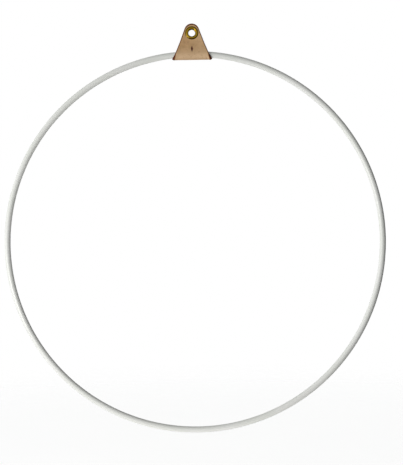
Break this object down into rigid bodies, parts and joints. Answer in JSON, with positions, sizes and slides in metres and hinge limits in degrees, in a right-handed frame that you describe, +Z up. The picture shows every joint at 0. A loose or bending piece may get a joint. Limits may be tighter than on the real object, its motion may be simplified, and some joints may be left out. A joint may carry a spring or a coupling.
{
  "type": "rhythmic gymnastics hoop with hanger",
  "caption": "Thin round plastic gymnastics hoop on a folded leather hanger with a brass eyelet for hanging on a hook.",
  "frame": {"origin": "centre of the brass eyelet's bore, midway through the two leather leaves", "axes": "+Z up through the eyelet, away from the hoop's centre; +Y along the eyelet's bore, from the domed front to the rolled back; +X along the hanger's fold"},
  "size_m": [0.878, 0.024, 0.9414],
  "materials": {
    "hoop_plastic": "smooth off-white extruded plastic, satin gloss",
    "plug_plastic": "matt dark moulded rod",
    "rivet_steel": "plain zinc-plated steel",
    "tan_leather": "undyed vegetable-tan leather, burnished edges",
    "eyelet_brass": "aged brass, polished",
    "washer_brass": "aged brass, polished"
  },
  "bodies": {
    "hanger": {"leather_hanger": "tan_leather", "eyelet": "eyelet_brass", "eyelet_washer": "washer_brass"},
    "hoop": {"hoop_tube": "hoop_plastic", "joint_plug": "plug_plastic", "joint_rivets": "rivet_steel"}
  },
  "joints": [
    {"name": "hoop_swing", "type": "hinge", "parent": "hanger", "child": "hoop", "pos_m": [0, 0, -0.04987], "axis": [1, 0, 0], "continuous": true}
  ]
}
